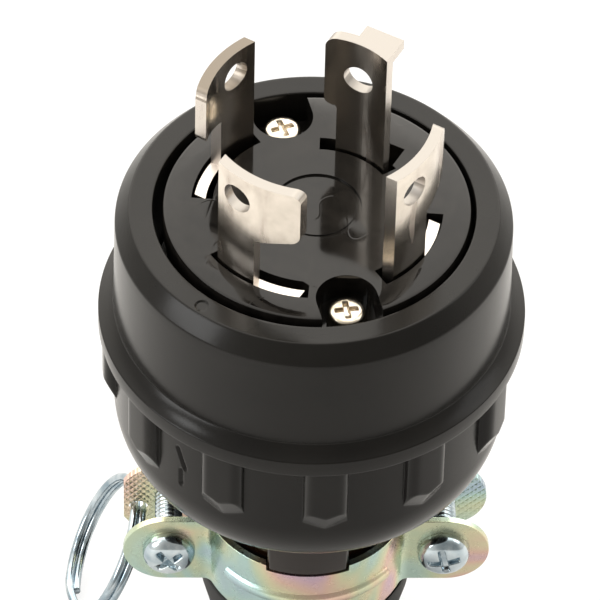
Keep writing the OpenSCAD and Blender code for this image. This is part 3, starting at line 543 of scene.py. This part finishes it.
finishedCopy("face_insert", thermoset, insert["edge"], segments=3, reshape=closerSlots)
for node in ("blade_x", "blade_y", "blade_z"):
    finishedCopy(node, bladeNickel, blades["edge"])
finishedCopy("earth_blade", bladeNickel, blades["edge"], reshape=deeperShoulder)
for node, material in (
        ("terminal_base", baseThermoset), ("line_terminal_screws", screwNickel),
        ("earth_terminal_screw", greenDye), ("line_wire_plates", wireBrass), ("earth_wire_plate", wireBrass),
        ("base_screws", screwNickel), ("threaded_inserts", wireBrass)):
    finishedCopy(node, material)
finishedCopy("cord_bush", rubber, clamp["bushEdge"])
finishedCopy("clamp_front", clampZinc, clamp["edge"])
finishedCopy("clamp_rear", earZinc, clamp["edge"])
print("insert, blades and clamp done")

# crown is the power that the head's rim falls by, and stops are the angles at which the two heads rest
faceScrew = dict(
    head=2.55 * mm, high=2.0 * mm, shank=1.45 * mm, long=24 * mm, pitch=0.5 * mm, crossLong=1.6 * mm,
    crossDeep=1.0 * mm, crown=5.5, stops=(20, 8), place=16.8 * mm, turns=(103.5, 283.5))
clampScrew = dict(
    head=3.6 * mm, high=2.4 * mm, shank=1.9 * mm, pitch=0.7 * mm, crossLong=2.3 * mm,
    crossDeep=1.3 * mm, crown=2.6, stops=(40, 12), place=18.8 * mm)


def panScrew(s, columns=144, headRows=70, rowsPerPitch=5):
    # one grid from the head's centre outwards and down the shank: the head's height is h (1 - (r/R)^n)^(1/n),
    # less a cross whose arms sink most at the centre; the shank's radius ripples with a helix for its thread
    angles = np.linspace(0, 2 * math.pi, columns, endpoint=False)
    share = np.sin(np.radians(np.linspace(0, 90, headRows)))[:, None]
    r = share * s["head"] + 0 * angles
    x, y = r * np.cos(angles), r * np.sin(angles)
    high = s["high"] * (1 - share ** s["crown"]) ** (1 / s["crown"]) + 0 * angles
    deep = np.zeros_like(r)
    for a, b in ((x, y), (y, x)):
        arm = np.clip((s["crossLong"] * 0.2 - np.abs(b)) / (0.05 * s["head"]) + 0.5, 0, 1)
        arm = arm * np.clip((s["crossLong"] - np.abs(a)) / (0.16 * s["head"]), 0, 1)
        deep = np.maximum(deep, arm * (1 - 0.45 * (a / s["crossLong"]) ** 2))
    head = np.stack([x, y, np.maximum(high - deep * s["crossDeep"], 0)], -1)
    edge = np.stack([x[-1], y[-1], 0 * angles], -1)[None]
    z = -np.linspace(0, s["long"], int(s["long"] / (s["pitch"] / rowsPerPitch)))[:, None]
    ripple = 0.5 + 0.5 * np.cos(2 * math.pi * z / s["pitch"] + angles)
    fade = np.clip(-z / s["pitch"] - 1.2, 0, 1) * np.clip((s["long"] + z) / s["pitch"], 0, 1)
    r = s["shank"] - fade * ripple * s["pitch"] * 0.35
    shank = np.stack([r * np.cos(angles), r * np.sin(angles), z + 0 * angles], -1)
    tip = np.zeros((1, columns, 3))
    tip[..., 2] = -s["long"]
    return np.concatenate([head, edge, shank, tip])


def screwPair(name, settings, places, lean, material):
    # the same screw at each place, leaned from Z, each head stopped at its own angle
    shape = panScrew(settings)
    grids = []
    for where, stop in zip(places, settings["stops"]):
        grids.append(placed(shape, lean @ Matrix.Rotation(math.radians(stop), 4, "Z"), where))
    return gridPiece(name, grids, material)


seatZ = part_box("face_screws")[1].z - faceScrew["high"]
turns = np.radians(faceScrew["turns"])
places = [(faceScrew["place"] * math.cos(a), faceScrew["place"] * math.sin(a), seatZ) for a in turns]
piece = screwPair("faceScrewPair", faceScrew, places, Matrix.Identity(4), screwNickel)
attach(piece, "plug")
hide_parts("face_screws")

low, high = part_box("clamp_screws")
headY = low.y + clampScrew["high"]
clampScrew["long"] = high.y - headY
places = [(side * clampScrew["place"], headY, clampMidZ) for side in (-1, 1)]
piece = screwPair("clampScrewPair", clampScrew, places, Matrix.Rotation(math.radians(90), 4, "X"), screwZinc)
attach(piece, "plug")
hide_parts("clamp_screws")
print("screws done")

# lean, gapAt, crossing and sweep are degrees
ring = dict(radius=10.2 * mm, wire=0.6 * mm, apart=1.1 * mm, lean=27, gapAt=200, crossing=40, sweep=700)


def splitRing():
    # a wire carried twice round: its sideways offset stays at minus half the spacing, then eases to plus half
    # over the crossing, so the two turns lie side by side with their cut ends facing away from each other
    s = ring
    eye = Vector(frame["joints"][0]["pos_m"])
    turn = np.radians(np.linspace(0, s["sweep"], 420))
    ease = np.clip((np.degrees(turn) - (s["sweep"] - s["crossing"]) / 2) / s["crossing"], 0, 1)
    side = s["apart"] * (ease * ease * (3 - 2 * ease) - 0.5)
    a = turn + math.radians(s["gapAt"])
    centre = np.stack([side, s["radius"] * np.sin(a), s["radius"] * np.cos(a) - s["radius"]], 1)
    outward = np.stack([0 * a, np.sin(a), np.cos(a)], 1)[:, None]
    sideways = np.array([1.0, 0, 0])
    b = np.linspace(0, 2 * math.pi, 20, endpoint=False)[None, :, None]
    tube = centre[:, None] + s["wire"] * (np.cos(b) * outward + np.sin(b) * sideways)
    ends = np.repeat(centre[[0, -1]][:, None], tube.shape[1], 1)
    tube = np.concatenate([ends[:1], tube, ends[1:]])
    lean = Matrix.Rotation(math.radians(s["lean"]), 4, "Y")
    return gridPiece("splitRing", [placed(tube, lean, eye)], ringZinc)


piece = splitRing()
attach(piece, "ring")
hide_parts("split_ring")
print("split ring done")

stage = dict(size=6.0, below=0.05 * mm, colour="#f4f4f4", frontShade="#c6c6c6", sideShade="#d6d6d6",
             back=(-0.34, 0.94, 0), frontTo=-0.98, sideFrom=-0.5)


def whiteSweep():
    # white sweep to the eye, with a faint shadow; to reflections it is darker towards the front, by the dot
    # product of the level way from Z with the way to the back, as where someone stands in the light
    material, place = newMaterial("whiteSweep")
    level = addNode(material, "ShaderNodeVectorMath", {0: place, 1: (1, 1, 0)}, operation="MULTIPLY")
    way = addNode(material, "ShaderNodeVectorMath", {0: level}, operation="NORMALIZE")
    toBack = addNode(material, "ShaderNodeVectorMath", {0: way, 1: stage["back"]}, output="Value",
                     operation="DOT_PRODUCT")
    beside = addNode(material, "ShaderNodeMapRange", {
        "Value": toBack, "From Min": stage["frontTo"], "From Max": stage["sideFrom"]})
    shade = addNode(material, "ShaderNodeValToRGB", {"Fac": beside},
                    stops=[(0, stage["frontShade"]), (1, stage["sideShade"])])
    seen = addNode(material, "ShaderNodeBsdfDiffuse", {"Color": stage["colour"]})
    glow = addNode(material, "ShaderNodeEmission", {"Strength": 1})
    bright = addNode(material, "ShaderNodeMixShader", {"Fac": 0.8, 1: seen, 2: glow})
    mirrored = addNode(material, "ShaderNodeBsdfDiffuse", {"Color": shade})
    toEye = addNode(material, "ShaderNodeLightPath", output="Is Camera Ray")
    above = addNode(material, "ShaderNodeMixShader", {0: toEye, 1: mirrored, 2: bright})
    under = addNode(material, "ShaderNodeNewGeometry", output="Backfacing")
    clear = addNode(material, "ShaderNodeBsdfTransparent")
    return finishMaterial(material, addNode(material, "ShaderNodeMixShader", {0: under, 1: above, 2: clear}))


reach = stage["size"] / 2
corners = [(x * reach, y * reach, -stage["below"]) for x, y in ((-1, -1), (1, -1), (1, 1), (-1, 1))]
floor = meshPiece("floor", corners, [(0, 1, 2, 3)], whiteSweep())

studio = dict(front=(0.3, -0.85, 0.45), frontFade=(0.35, 0.85), frontLevel=0.45,
              back=(0, 0.75, 0.66), backFade=(0.45, 0.9), backLevel=2.6, warmth="#fffaf2", aim=(0, 0, 0.06))
lamps = dict(
    keyLamp=dict(place=(-0.71, -0.30, 0.40), size=(0.42, 0.30), power=2.1),
    sideLamp=dict(place=(-0.57, -0.17, 0.70), size=(0.16, 0.16), power=0.6),
    fillLamp=dict(place=(0.7, 0.05, 0.55), size=(0.3, 0.4), power=0.55))


def studioWorld():
    # brightness by direction d: it falls from 1 to frontLevel as d . front grows, where someone stands, and
    # rises by up to backLevel as d . back grows, for the large diffuser behind and above the object
    world = bpy.data.worlds.new("studioWorld")
    bpy.context.scene.world = world
    world.use_nodes = True
    world.node_tree.nodes.clear()
    way = addNode(world, "ShaderNodeTexCoord", output="Generated")
    levels = []
    for side, unlit in (("front", 1), ("back", 0)):
        toward = addNode(world, "ShaderNodeVectorMath", {0: way, 1: Vector(studio[side]).normalized()},
                         output="Value", operation="DOT_PRODUCT")
        start, full = studio[side + "Fade"]
        levels.append(addNode(world, "ShaderNodeMapRange", {
            "Value": toward, "From Min": start, "From Max": full, "To Min": unlit,
            "To Max": studio[side + "Level"]}))
    both = addNode(world, "ShaderNodeMath", {0: levels[0], 1: levels[1]}, operation="ADD")
    glow = addNode(world, "ShaderNodeBackground", {"Strength": both, "Color": studio["warmth"]})
    addNode(world, "ShaderNodeOutputWorld", {"Surface": glow})


def softLamp(name, place, size, power):
    lamp = bpy.data.lights.new(name, "AREA")
    lamp.shape = "RECTANGLE"
    lamp.size, lamp.size_y = size
    lamp.energy = power
    holder = bpy.data.objects.new(name, lamp)
    bpy.context.scene.collection.objects.link(holder)
    holder.location = place
    holder.rotation_euler = (Vector(studio["aim"]) - Vector(place)).to_track_quat("-Z", "Y").to_euler()


studioWorld()
for name, settings in lamps.items():
    softLamp(name, **settings)

# elevation, azimuth and roll are degrees; aim is how far from the face's centre the camera looks
viewpoint = dict(distance=0.7787, elevation=46.12, azimuth=-92, aim=(-0.00156, 0, -0.01763), roll=1.48,
                 lens=360)


def viewCamera():
    s = viewpoint
    face = Vector((0, 0, faceZ))
    up, along = math.radians(s["elevation"]), math.radians(s["azimuth"])
    back = Vector((math.cos(up) * math.cos(along), math.cos(up) * math.sin(along), math.sin(up)))
    lens = bpy.data.cameras.new("camera")
    lens.lens = s["lens"]
    lens.clip_start = 0.05
    holder = bpy.data.objects.new("camera", lens)
    bpy.context.scene.collection.objects.link(holder)
    place = face + back * s["distance"]
    look = (face + Vector(s["aim"]) - place).to_track_quat("-Z", "Y").to_matrix().to_4x4()
    roll = Matrix.Rotation(math.radians(s["roll"]), 4, "Z")
    holder.matrix_world = Matrix.Translation(place) @ look @ roll
    bpy.context.scene.camera = holder


viewCamera()
bpy.context.scene.view_settings.view_transform = "Standard"
print("floor, light and camera ready")
